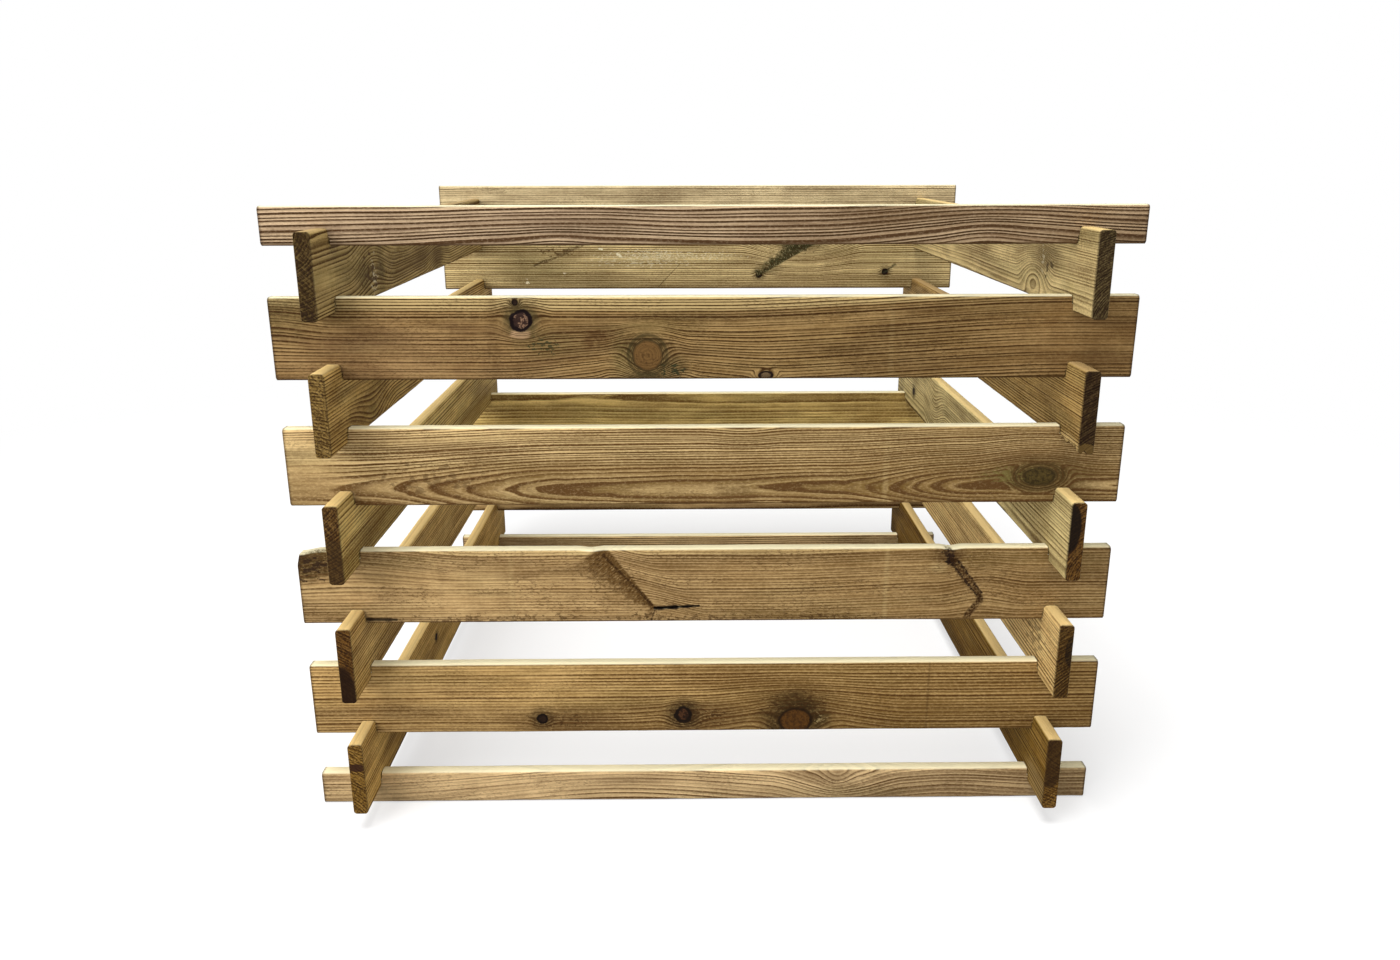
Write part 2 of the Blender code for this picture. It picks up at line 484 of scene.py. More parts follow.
def stains_painted_light_and_shade(timber):
    """Bands along the grain and soft patches: stain, and on some boards painted shade and light. Returns how
    much wood they leave bare, from 0 to 1.
    """
    graph = timber.graph
    _, _, grain_z = graph.split(timber.followed["grain"])
    for low, high, tint, strength in timber.wood["bands"]:
        timber.lay(graph.step(grain_z, low * MM, high * MM, 0, strength), linear(tint))
    dotted = graph.step(timber.grit, 0.34, 0.56, 0.75, 1.0)
    unpatched = 1.0
    for number, patch in enumerate(timber.wood["patches"]):
        mask = patch_mask(graph, timber.place, patch, timber.seed + number) * dotted
        timber.lay(mask, linear(patch[4]))
        unpatched = unpatched * (1 - 0.8 * mask)
    return unpatched


def growth_lines(timber, unpatched):
    """Draws the growth rings, with grit and specks over them. Returns the dark lines' strength."""
    graph = timber.graph
    wood = timber.wood
    patchy = graph.step(timber.pattern("faded"), 0.32, 0.56, 0.65, 1.0)
    for *where, strength in wood["fades"]:
        patchy = patchy * graph.step(spot(graph, timber.place, *where), 0.3, 1, 1 - strength, 1)
    line = timber.late * patchy * graph.step(timber.grit, 0.36, 0.62, 0.92, 1.0)
    timber.lay(timber.faint * patchy * (0.30 * wood["contrast"]), timber.dark)
    timber.lay(line * (1.9 * wood["contrast"]), timber.dark)
    timber.lay(timber.early * patchy * unpatched * wood["rims"], timber.pale)
    timber.lay(graph.step(timber.grit, 0.50, 0.66, 0, 0.14), timber.dark)
    timber.lay(graph.step(timber.grit, 0.50, 0.36, 0, 0.14) * unpatched, timber.pale)
    specks = graph.step(timber.pattern("stipple"), 0.54, 0.66)
    specks = specks * graph.step(timber.pattern("stippled"), 0.42, 0.60)
    timber.lay(specks * wood["stipple"], timber.dark)
    timber.relief = line * wood["relief"] + timber.fibre * 0.4 + timber.grit * 0.5 - specks * 0.5
    return line


def knots_and_flecks(timber):
    """Knots, the wood round them, and the small specks that lie between."""
    for number, knot in enumerate(timber.wood["knots"]):
        knot_shading(timber, knot, timber.seed + number)
    for number, fleck in enumerate(timber.wood["flecks"]):
        mask = fleck_mask(timber.graph, timber.place, fleck, timber.seed + 3 * number)
        timber.lay(mask * timber.shown, linear(fleck[5]))
    for number, knot in enumerate(timber.wood["knots"]):
        knot_body(timber, knot, timber.seed + number)


def tears(timber):
    """Torn grain: darker, fibrous along its line, and a little deeper."""
    graph = timber.graph
    for number, tear in enumerate(timber.wood["tears"]):
        start, end, _, _, tint, _ = tear
        mask = tear_mask(graph, timber.place, tear, timber.seed + number) * timber.shown
        along, across, _ = scar_place(graph, timber.place, start, end)
        torn = graph.noise(graph.join(along, across, 0), TORN_FIBRES, timber.seed + number, 4.0, 0.65)
        colour = graph.mix(graph.step(torn, 0.54, 0.66, 0, 0.3), linear(tint), timber.pale)
        colour = graph.mix(graph.step(torn, 0.50, 0.38, 0, 0.85), colour, linear(TORN))
        timber.lay(mask, colour)
        timber.relief = timber.relief + mask * torn * 5.0 - mask * 2.5


def lit_top_shaded_bottom(timber):
    """The top edge paler, partly its own tone and partly a painted highlight, and the bottom edge darker
    with painted shade.
    """
    _, _, facing_z = timber.facing
    # Painted highlight: the top is paler, partly its own tone and partly the light from above.
    timber.lay(timber.graph.step(facing_z, 0.5, 0.95) * 0.8, linear(timber.wood["top_colour"]))
    # Painted shade: the board is darker where it faces down.
    timber.lay(timber.graph.step(facing_z, -0.25, -0.8) * 0.85, timber.dark)


def scars(timber):
    """Thin dark lines where the face is split or bruised."""
    graph = timber.graph
    rough = graph.step(timber.pattern("scarred"), 0.40, 0.58, 0.35, 1.0)
    for start, end, width, tint, strength, ragged in timber.wood["scars"]:
        away = scar_reach(graph, timber.place, start, end, ragged, timber.seed)
        mask = graph.step(away, 0.3 * width * MM, width * MM, strength, 0) * timber.shown
        if ragged > 1:
            mask = mask * rough
        timber.lay(mask, linear(tint))
        timber.relief = timber.relief - mask * 2.5


def sawn_ends(timber):
    """The two ends: growth rings, saw marks, pores and stained spots, with dirt on the faces beside them."""
    graph = timber.graph
    pale, body, dark = tints(timber.wood["end_colour"])
    pores = timber.pattern("pores")
    saw_y, saw_z = saw_place(graph, timber.place)
    saw = graph.noise(graph.join(0, saw_y, saw_z), SAW_MARKS, timber.seed + 15, 2.0, 0.6)
    colour = graph.mix(timber.early * 0.5, body, pale)
    colour = graph.mix(timber.late * 1.2, colour, dark)
    colour = graph.mix(graph.step(saw, 0.44, 0.62, 0, 0.55), colour, dark)
    colour = graph.mix(graph.step(saw, 0.50, 0.36, 0, 0.30), colour, pale)
    colour = graph.mix(graph.step(pores, 0.48, 0.62, 0, 0.7), colour, linear(BARK))
    colour = graph.mix(graph.step(pores, 0.48, 0.34, 0, 0.40), colour, pale)
    for end_x, end_y, end_z, size_y, size_z, tint, strength in timber.wood["ends"]:
        size = in_metres((END_STAIN_DEPTH, size_y, size_z))
        away = graph.reach(timber.place, in_metres((end_x, end_y, end_z)), size) + (pores - 0.5) * 0.4
        colour = graph.mix(graph.step(away, 0.90, 1.04, strength, 0), colour, linear(tint))
    from_middle = graph.math("ABSOLUTE", timber.place_x) + (pores - 0.5) * (6 * MM)
    timber.lay(graph.step(from_middle, GRIME_FROM, GRIME_WHOLE) * GRIME_STRENGTH, linear(BARK))
    facing_x, _, _ = timber.facing
    timber.lay(graph.step(graph.math("ABSOLUTE", facing_x), 0.6, 0.9), colour)


def wood_material(name, wood, seed):
    """Treated pine for one board."""
    material = bpy.data.materials.new(name)
    material.use_nodes = True
    graph = Graph(material.node_tree)
    timber = Timber(graph, wood, seed)
    clear_wood(timber)
    unpatched = stains_painted_light_and_shade(timber)
    line = growth_lines(timber, unpatched)
    knots_and_flecks(timber)
    tears(timber)
    lit_top_shaded_bottom(timber)
    scars(timber)
    sawn_ends(timber)
    shader = graph.tree.nodes["Principled BSDF"]
    graph.feed(shader.inputs["Base Color"], timber.colour)
    graph.feed(shader.inputs["Roughness"], graph.step(timber.fibre, 0.3, 0.7, 0.55, 0.75) + line * 0.06)
    shader.inputs["Specular IOR Level"].default_value = GLOSS
    bump = {"Height": timber.relief, "Strength": 1.0, "Distance": RELIEF_HEIGHT}
    graph.feed(shader.inputs["Normal"], graph.node("ShaderNodeBump", bump))
    return material


# What a board has where BOARDS says nothing. Places are millimetres from the board's middle, x along it and
# z up. A start or an end is a place (x, z), and strengths run from 0 to 1.
PLAIN_PINE = {
    # How far the pith leans in and up over a metre, the rings' width, and how deep a ring is for its height.
    "lean": (0, 0),
    "ring": 3.6,
    "squeeze": 1.0,
    # Strength of the dark lines, their relief, the pale lines after them, the green and the specks.
    "contrast": 0.7,
    "relief": 0.6,
    "rims": 0.45,
    "green": 0.3,
    "stipple": 0.4,
    # How far the grain wanders, wavers and trembles, and how far it comes out round a knot.
    "wander": 4,
    "waver": 0.8,
    "tremble": 0.25,
    "bulge": 4,
    # x, z, reach in x and z, then the grain's rise, or for lifts how far it comes out.
    "bends": (),
    "lifts": (),
    # Start x, end x, the z up to which it is whole, the z where it is gone, rise and lift.
    "climbs": (),
    # Start, end, rise and width, to the left of the line.
    "sweeps": (),
    # x, z, half the width, half the height, and the kind of knot.
    "knots": (),
    # The grain's z where it begins and from where it is whole, colour and strength.
    "bands": (),
    # x, z, reach in x and z, colour, strength, and how soft the edge is.
    "patches": (),
    # x, z, reach in x and z, and how much the growth lines fade.
    "fades": (),
    # x, z, reach in x and z, the specks' size, colour and strength.
    "flecks": (),
    # Start, end, first and last width to the right of the line, colour and strength.
    "tears": (),
    # Start, end, half the width, colour, strength, and how ragged it is.
    "scars": (),
    # Start, end, width and depth.
    "cracks": (),
    # x, z, reach in x and z, then the move in x and z.
    "dents": (),
    # Start x, end x, z of the edge, and depth.
    "splinters": (),
    # A stain on an end: x, y, z, reach in y and z, colour and strength.
    "ends": (),
    # The top's paler colour, partly its own tone and partly a painted highlight, and the colour of the ends.
    "top_colour": CREAM,
    "end_colour": (90, 66, 36),
}


def pine(slot, colour, pith, **more):
    """One board's wood. Pith is how deep behind the board's middle it lies, and how high above it."""
    return {**PLAIN_PINE, "slot": slot, "colour": colour, "pith": pith, **more}


BOARDS = {
    "front_board_6": pine(
        "umber", (173, 147, 117), pith=(30, -150), lean=(0, 10), ring=4.5, contrast=1.5, relief=2.4,
        green=0.0, stipple=0.15, wander=2, waver=1.3,
        bends=[(-170, -18, 250, 60, 8), (-168, -20, 60, 30, 2.5), (322, -8, 200, 60, 13),
               (315, -10, 60, 30, 3), (-30, 10, 90, 40, -2)],
        # The OCHRE patch at x 360 is painted shade toward the right end.
        patches=[(360, 0, 330, 90, OCHRE, 0.36, 0.9)],
    ),
    "front_board_5": pine(
        "honey", (142, 112, 67), pith=(40, -120), ring=3.3, contrast=0.84, relief=0.9, rims=0.3, bulge=10,
        bends=[(-68, -48, 170, 80, 14), (-68, -46, 64, 70, 18), (-500, 25, 80, 50, 7)],
        climbs=[(0, 430, 60, 99, 15, 0)],
        knots=[(-212, 21, 12.5, 12, "dead"), (-67, -20, 17, 18, "tan"), (-218, 42, 3.5, 3.5, "dark"),
               (71, -44, 8.5, 5, "eye")],
        bands=[(30, 35, STRAW, 0.75)],
        # The thin SHADE line at x -245 is painted shade, the STRAW line at x 216 a painted band of light,
        # and the patch at x 470 painted shade toward the right end.
        patches=[(-212, 30, 26, 24, DARK_MOSS, 0.45, 0.6), (-360, -20, 150, 40, (150, 112, 84), 0.3, 0.9),
                 (-485, 34, 66, 28, (74, 66, 36), 0.65, 0.7), (-213, 6, 11, 6, (214, 172, 130), 1.0, 0.35),
                 (-185, -6, 34, 14, (80, 76, 42), 0.5, 0.7), (-96, -24, 12, 22, MOSS, 0.45, 0.7),
                 (-245, 0, 7, 70, SHADE, 0.3, 0.7), (-122, 3, 13, 6, (92, 64, 36), 0.75, 0.6),
                 (-135, -4, 6, 9, (92, 64, 36), 0.65, 0.7), (-36, -34, 14, 13, DARK_MOSS, 0.6, 0.6),
                 (-70, -45, 26, 5, DARK_MOSS, 0.7, 0.6), (216, 0, 3, 70, STRAW, 0.12, 0.6),
                 (470, 0, 150, 80, (112, 78, 44), 0.4, 0.9)],
        fades=[(-370, -30, 150, 40, 0.45), (-70, 12, 44, 14, 0.6), (450, 0, 170, 70, 0.4)],
        flecks=[(-188, -8, 26, 16, 1.3, DARK_MOSS, 0.8), (-36, -38, 22, 14, 1.6, DARK_MOSS, 0.9)],
    ),
    "front_board_4": pine(
        "straw", (203, 172, 119), pith=(11.5, -27), lean=(-5.4, 0), ring=1.3, squeeze=0.5, contrast=1.6,
        relief=0.8, rims=0.35, wander=1.5, bulge=6,
        bends=[(396, 6, 90, 60, 8), (46, 38, 60, 26, -3)],
        climbs=[(-420, -170, 60, 99, 0, -5.3), (165, 320, 60, 99, 0, -5.8)],
        knots=[(402, -15, 20, 11, "green")],
        bands=[(8, 2, OCHRE, 0.22)],
        # The OCHRE patch at x 330 is painted shade toward the right end, and the thin STRAW lines at x -237
        # and 217 are painted bands of light.
        patches=[(330, 0, 420, 120, OCHRE, 0.54, 0.9), (38, -34, 22, 10, SHADE, 0.6, 0.6),
                 (-100, -22, 320, 26, OCHRE, 0.25, 0.5), (390, 8, 70, 9, (96, 60, 40), 0.4, 0.7),
                 (366, -14, 30, 12, MOSS, 0.45, 0.7), (440, -12, 34, 26, (92, 70, 38), 0.5, 0.8),
                 (404, -14, 56, 26, (86, 72, 36), 0.55, 0.7), (0, 34, 430, 12, STRAW, 0.25, 0.5),
                 (-237, 0, 3, 70, STRAW, 0.22, 0.7), (217, 0, 3, 70, STRAW, 0.36, 0.7)],
        fades=[(-500, 0, 110, 80, 0.85), (-300, 40, 170, 22, 0.5), (-340, -20, 130, 30, 0.35)],
        flecks=[(362, -14, 34, 14, 2.5, (118, 108, 58), 0.55),
                (400, -12, 24, 12, 2.5, (116, 106, 60), 0.5), (-320, -16, 110, 30, 3, TORN, 0.45)],
    ),
    "front_board_3": pine(
        "honey", (180, 147, 98), pith=(34, -150), ring=3.8, contrast=0.52, relief=0.5, stipple=0.55,
        bends=[(-440, 40, 170, 60, 14), (345, -5, 60, 60, 8)],
        climbs=[(80, 330, 60, 99, 6, 0)],
        sweeps=[((-140, 50), (-62, -29), 16, 45)],
        bands=[(38, 42, STRAW, 0.4), (-32, -40, SHADE, 0.25)],
        # The OCHRE patch at x 330 is painted shade toward the right end, and the thin STRAW lines at x -239
        # and 224 are painted bands of light.
        patches=[(330, 0, 420, 120, OCHRE, 0.46, 0.9), (-239, 0, 3, 70, STRAW, 0.2, 0.7),
                 (224, 0, 3, 70, STRAW, 0.32, 0.7), (-275, 10, 26, 14, STRAW, 0.25, 0.9),
                 (300, 40, 18, 12, TORN, 0.7, 0.5), (288, 22, 10, 6, STRAW, 0.4, 0.6),
                 (-148, 46, 22, 4, STRAW, 0.7, 0.5), (-488, 33, 42, 23, (68, 52, 25), 1.0, 0.35),
                 (-500, 46, 22, 10, BARK, 0.7, 0.5)],
        fades=[(-300, 0, 300, 60, 0.3)],
        flecks=[(-250, -46, 230, 14, 1.8, TORN, 0.6), (60, -46, 260, 14, 1.8, TORN, 0.6),
                (304, 38, 26, 20, 3, INK, 0.9), (-72, -36, 22, 14, 2.5, TORN, 0.8),
                (-120, 10, 60, 34, 1.8, TORN, 0.5), (-486, 30, 46, 28, 2.5, BARK, 0.8)],
        tears=[((-124, 54), (-62, -29), 56, 14, (100, 72, 36), 0.95)],
        scars=[((-500, 50), (-464, 50), 7, (76, 60, 28), 0.85, 1.5),
               ((-124, 40), (-66, -25), 2.6, TORN, 0.95, 1.2),
               ((-63, -29.5), (-36, -28.5), 4.0, INK, 1.0, 0.5),
               ((-40, -28.5), (-8, -27), 2.6, INK, 1.0, 0.4),
               ((-62, -30), (-67, -46), 1.8, TORN, 0.9, 1.1),
               ((-420, -42.5), (-384, -43.5), 2.6, INK, 0.9, 0.3),
               ((299, 46), (304, 30), 8, BARK, 0.95, 5.0), ((307, 31), (341, -13), 7.5, TORN, 0.9, 3.0),
               ((312, 31), (344, -12), 2.2, BARK, 1.0, 1.6), ((302, 30), (338, -15), 1.8, BARK, 0.9, 1.6),
               ((341, -12), (343, -20), 5, TORN, 0.9, 2.2), ((343, -20), (328, -42), 5.5, TORN, 1.0, 2.6)],
        cracks=[((-64, -30), (-6, -27), 3.4, 6)],
        dents=[(-500, 49, 30, 22, 3, -4), (-141, 49, 18, 12, 0, -1.8), (303, 49, 16, 12, 0, -2.2)],
    ),
    "front_board_2": pine(
        "honey", (194, 157, 98), pith=(40, -140), ring=4.4, contrast=0.95, relief=0.5, bulge=5,
        bends=[(116, -27, 150, 75, 18), (-28, -24, 80, 40, 4)],
        knots=[(-209.5, -28.5, 7, 7, "dark"), (-28, -24.5, 11, 11, "red"), (116, -34, 21, 18, "brown")],
        bands=[(-2, -18, SHADE, 0.42)],
        # The OCHRE patch at x 330 is painted shade toward the right end.
        patches=[(330, 0, 420, 120, OCHRE, 0.60, 0.9), (-180, -32, 60, 14, SHADE, 0.35, 0.8),
                 (147, -30, 12, 10, DARK_MOSS, 0.55, 0.6), (116, -12, 44, 26, (70, 52, 25), 0.75, 0.8),
                 (6, -26, 44, 18, SHADE, 0.65, 0.8), (-176, -30, 40, 14, SHADE, 0.4, 0.8),
                 (285, 0, 1.5, 70, BARK, 0.35, 0.6)],
        fades=[(-330, 10, 300, 60, 0.4)],
        flecks=[(2, -26, 44, 20, 1.8, TORN, 0.8), (-190, -32, 60, 16, 1.8, TORN, 0.7),
                (148, -30, 12, 12, 1.6, STRAW, 0.45), (116, -14, 60, 34, 1.8, TORN, 0.7)],
    ),
    "front_board_1": pine(
        "straw", (206, 174, 126), pith=(40, -120), ring=5.0, contrast=0.6, relief=0.5, green=0.12,
        bends=[(-110, 0, 330, 90, 22), (172, 0, 90, 60, -16), (172, 8, 30, 30, -7), (320, 0, 130, 70, 8)],
        # The SHADE patch at x 360 is painted shade toward the right end.
        patches=[(190, -12, 80, 7, MOSS, 0.35, 0.8), (360, 0, 200, 40, SHADE, 0.18, 0.9)],
        fades=[(-300, 0, 260, 60, 0.4)],
    ),
    "back_board_6": pine("straw", (208, 187, 144), pith=(60, -120), contrast=0.4, green=0.15),
    "back_board_5": pine(
        "olive", (208, 185, 130), pith=(50, 100), ring=3.0, contrast=1.15, green=0.35,
        lifts=[(205, 52, 130, 100, -60)],
        knots=[(369, -16, 6, 6, "dark"), (120, -22, 6, 5, "dark")],
        patches=[(-355, 0, 40, 40, MOSS, 0.3, 0.8), (250, -10, 90, 40, STRAW, 0.25, 0.8),
                 (206, 40, 46, 12, DARK_MOSS, 0.7, 0.6), (140, -8, 22, 12, DARK_MOSS, 0.6, 0.6),
                 (-300, -12, 50, 30, MOSS, 0.3, 0.8), (395, -38, 30, 12, SHADE, 0.4, 0.7)],
        flecks=[(-90, 18, 150, 16, 1.3, RESIN, 0.5), (20, 16, 110, 12, 1.3, RESIN, 0.4),
                (-110, 6, 150, 18, 1.8, RESIN, 0.35), (190, 34, 60, 22, 2.5, INK, 0.7),
                (-190, 30, 14, 7, 4, RESIN, 0.95), (-262, -18, 10, 6, 4, RESIN, 0.9),
                (-340, -34, 10, 7, 4, RESIN, 0.9), (-157, 18, 12, 8, 5, RESIN, 0.9),
                (-187, -12, 9, 6, 5, RESIN, 0.9), (-275, 24, 60, 16, 3, SHADE, 0.8)],
        tears=[((246, 48), (118, -24), 60, 12, (54, 54, 30), 0.95)],
        scars=[((-80, -46), (-37, -1), 1.2, SHADE, 0.6, 0.8), ((-322, -3), (-280, 12), 4, SHADE, 0.8, 2),
               ((-276, 14), (-228, 37), 5, SHADE, 0.7, 3), ((388, -4), (366, -18), 4, DARK_MOSS, 0.8, 2)],
    ),
    "back_board_4": pine("honey", (170, 138, 90), pith=(45, -60)),
    "back_board_3": pine("straw", (204, 174, 102), pith=(50, 40), contrast=0.5, green=0.4),
    "back_board_2": pine("honey", (170, 138, 90), pith=(60, -20)),
    "back_board_1": pine("straw", (190, 160, 112), pith=(60, -90)),
    "left_board_5": pine(
        "honey", (174, 148, 92), pith=(34, 60), lean=(10, 20), ring=3.8, contrast=0.85, green=0.45,
        top_colour=(166, 140, 96), end_colour=(60, 43, 16),
        lifts=[(-284, -8, 110, 70, 26), (60, -40, 100, 60, 20), (-120, 30, 80, 50, -16)],
        patches=[(-325, -20, 26, 20, DARK_MOSS, 0.5, 0.8), (-252, -12, 14, 30, DARK_MOSS, 0.5, 0.8),
                 (62, -28, 36, 18, SHADE, 0.7, 0.8), (-40, -18, 34, 12, SHADE, 0.4, 0.8)],
        fades=[(-475, -4, 70, 26, 0.75)],
        flecks=[(-284, -20, 20, 36, 2, RESIN, 0.6), (-300, -20, 60, 40, 5, SHADE, 0.9)],
    ),
    "left_board_4": pine(
        "olive", (198, 162, 92), pith=(34, -90), lean=(30, 0), ring=3.8, contrast=0.95,
        top_colour=SIDE_TOP, end_colour=(114, 88, 42),
        lifts=[(-337, -42, 120, 60, 26)],
        patches=[(-337, -36, 20, 14, MOSS, 0.4, 0.7)],
    ),
    "left_board_3": pine(
        "straw", (218, 184, 110), pith=(60, 90), contrast=0.6, green=0.35, top_colour=SIDE_TOP,
        end_colour=(86, 58, 22),
        # The OCHRE band over the lower part is painted shade.
        bands=[(-14, -18, OCHRE, 0.5)],
        ends=[(-500, 0, -22, 16, 30, (50, 36, 20), 0.6)],
    ),
    "left_board_2": pine(
        "honey", (210, 172, 102), pith=(60, -100), contrast=0.6, top_colour=SIDE_TOP,
        end_colour=(86, 54, 16),
        # The OCHRE band along the bottom is painted shade.
        bands=[(-30, -36, OCHRE, 0.4)],
        ends=[(-500, 6, -44, 17, 46, (34, 20, 12), 0.92)],
    ),
    "left_board_1": pine(
        "olive", (204, 164, 90), pith=(40, -70), contrast=0.6, green=0.4, top_colour=SIDE_TOP,
        end_colour=(122, 88, 33),
        knots=[(-124, 9, 6, 5, "dark")],
        ends=[(-500, 0, 17, 12, 5.5, (52, 30, 22), 0.9)],
    ),
    "right_board_5": pine(
        "olive", (204, 180, 124), pith=(40, -60), ring=2.6, contrast=0.4, green=0.4, top_colour=SIDE_TOP,
        end_colour=(66, 52, 28),
        lifts=[(297, -6, 80, 50, -22)],
        # The MOSS band along the top and the SHADE patch on the front stub at x 474 are painted shade.
        patches=[(340, 10, 40, 16, SHADE, 0.4, 0.8), (0, 40, 500, 14, MOSS, 0.35, 0.4),
                 (474, 14, 34, 50, SHADE, 0.35, 0.8)],
        flecks=[(327, 0, 14, 26, 3, RESIN, 0.4), (350, -6, 24, 18, 5, BARK, 0.7)],
    ),
    "right_board_4": pine(
        "honey", (170, 137, 78), pith=(60, -110), ring=2.8, contrast=0.6, top_colour=(170, 142, 96),
        end_colour=(49, 32, 13),
        patches=[(470, -42, 34, 9, STRAW, 0.8, 0.4)],
        splinters=[(438, 500, -48.5, 9)],
        ends=[(500, 0, -46, 12, 11, (120, 94, 50), 0.5)],
    ),
    "right_board_3": pine(
        "umber", (204, 184, 126), pith=(46, -50), ring=3.2, contrast=0.6, green=0.4, top_colour=SIDE_TOP,
        end_colour=(88, 56, 18),
        lifts=[(-180, 0, 90, 60, 20)],
        knots=[(-349, -10, 8, 7, "dark")],
        # The STRAW patch low on the front stub at x 470 is painted light.
        patches=[(400, 0, 40, 60, OCHRE, 0.4, 0.6), (470, -28, 26, 18, STRAW, 0.4, 0.5)],
        ends=[(500, -9, 17, 13.5, 32, INK, 0.92)],
    ),
    "right_board_2": pine(
        "straw", (220, 182, 118), pith=(50, -80), contrast=0.7, top_colour=SIDE_TOP,
        end_colour=(80, 54, 18),
        flecks=[(420, 0, 60, 40, 4, SHADE, 0.5)],
        ends=[(500, 7, 14, 7, 20, INK, 0.65)],
    ),
    "right_board_1": pine(
        "honey", (124, 90, 30), pith=(50, 80), contrast=0.7, green=0.4, top_colour=SIDE_TOP,
        end_colour=(112, 78, 28),
        # The STRAW patch low on the front stub is painted light.
        patches=[(470, -30, 36, 20, STRAW, 0.4, 0.5)],
        flecks=[(-155, 0, 50, 30, 5, INK, 0.7)],
        ends=[(500, -2, 18, 16, 38, (50, 33, 18), 0.8)],
    ),
}


def section(thickness, height):
    """A board's cross-section: its outline as (y, z) corners, round the four arrises."""
    flat_y = thickness / 2 - ARRIS_RADIUS
    flat_z = height / 2 - ARRIS_RADIUS
    corners = ((flat_y, -flat_z), (flat_y, flat_z), (-flat_y, flat_z), (-flat_y, -flat_z))
    outline = []
    for quarter, (centre_y, centre_z) in enumerate(corners):
        for step in range(ARRIS_STEPS + 1):
            angle = (quarter - 1 + step / ARRIS_STEPS) * math.pi / 2
            y = centre_y + ARRIS_RADIUS * math.cos(angle)
            z = centre_z + ARRIS_RADIUS * math.sin(angle)
            outline.append((y, z))
        run = 2 * (flat_y if quarter % 2 else flat_z)
        cells = max(1, round(run / CELL_ACROSS))
        next_y, next_z = corners[(quarter + 1) % 4]
        angle = quarter * math.pi / 2
        first_y, first_z = outline[-1]
        last_y = next_y + ARRIS_RADIUS * math.cos(angle)
        last_z = next_z + ARRIS_RADIUS * math.sin(angle)
        for cell in range(1, cells):
            share = cell / cells
            outline.append((first_y + (last_y - first_y) * share, first_z + (last_z - first_z) * share))
    return np.array(outline)


def fine_bar(length, thickness, height):
    """A board before its notches are cut, as an even grid of small faces."""
    outline = section(thickness, height)
    cells = round((length - 2 * END_EASING) / CELL_ALONG)
    inner = np.linspace(-length / 2 + END_EASING, length / 2 - END_EASING, cells + 1)
    stations = [-length / 2, *inner, length / 2]
    around = len(outline)
    corners = []
    for x in stations:
        eased = abs(abs(x) - length / 2) < 1e-9
        shrink = np.array((1 - END_EASING / (thickness / 2), 1 - END_EASING / (height / 2))) if eased else 1
        for y, z in outline * shrink:
            corners.append((x, y, z))
    faces = []
    for row in range(len(stations) - 1):
        for column in range(around):
            beside = (column + 1) % around
            start = row * around
            faces.append((start + column, start + around + column, start + around + beside, start + beside))
    faces.append(tuple(range(around)))
    last = (len(stations) - 1) * around
    faces.append(tuple(last + column for column in reversed(range(around))))
    mesh = bpy.data.meshes.new("board")
    mesh.from_pydata(corners, [], faces)
    return mesh


def box_mesh(low, high):
    """A plain box, to cut with."""
    bm = bmesh.new()
    bmesh.ops.create_cube(bm, size=1)
    middle = (Vector(low) + Vector(high)) / 2
    size = Vector(high) - Vector(low)
    bmesh.ops.transform(bm, matrix=Matrix.Translation(middle) @ Matrix.Diagonal((*size, 1)), verts=bm.verts)
    mesh = bpy.data.meshes.new("notch")
    bm.to_mesh(mesh)
    bm.free()
    return mesh


def cut(mesh, cutters):
    """The mesh without the cutters."""
    blank = add("blank", mesh)
    tools = []
    for cutter in cutters:
        tool = add("cutter", cutter)
        tools.append(tool)
        boolean = blank.modifiers.new("cut", "BOOLEAN")
        boolean.solver = "EXACT"
        boolean.operation = "DIFFERENCE"
        boolean.object = tool
    graph = bpy.context.evaluated_depsgraph_get()
    result = bpy.data.meshes.new_from_object(blank.evaluated_get(graph))
    for helper in (blank, *tools):
        bpy.data.objects.remove(helper)
    return result


def notched_bar(length, thickness, height, below, above):
    """A fine board with its notches, in the bottom edge and in the top edge as told."""
    cutters = []
    for place in (-NOTCH_PLACE, NOTCH_PLACE):
        for wanted, edge, inward in ((below, -height / 2, 1), (above, height / 2, -1)):
            if not wanted:
                continue
            heights = sorted((edge - inward * CUT_BEYOND, edge + inward * NOTCH_DEPTH))
            low = (place - NOTCH_WIDTH / 2, -thickness, heights[0])
            high = (place + NOTCH_WIDTH / 2, thickness, heights[1])
            cutters.append(box_mesh(low, high))
    return cut(fine_bar(length, thickness, height), cutters)


def weather(mesh, size, seed):
    """Wears the arrises unevenly and hollows the faces a little, always inwards."""
    _, thickness, height = size
    slow_share, quick_share = ARRIS_WEAR_VARIES
    shift = Vector((seed * 3.1, seed * 1.3, seed * 2.7))
    moves = []
    for vertex in mesh.vertices:
        place = vertex.co
        from_arris = math.hypot(
            max(0, thickness / 2 - abs(place.y)), max(0, height / 2 - abs(place.z)))
        worn = max(0, 1 - from_arris / WORN_REACH)
        slow = noise.noise(Vector((place.x * 9, place.y * 30, place.z * 30)) + shift)
        quick = noise.noise(Vector((place.x * 60, place.y * 90, place.z * 90)) - shift)
        arris_wear = ARRIS_WEAR + slow_share * slow + quick_share * quick
        depth = FACE_WEAR + FACE_WEAR_VARIES * slow + worn * arris_wear
        moves.append(vertex.normal * (-max(0, depth) * MM))
    for vertex, move in zip(mesh.vertices, moves):
        vertex.co += move


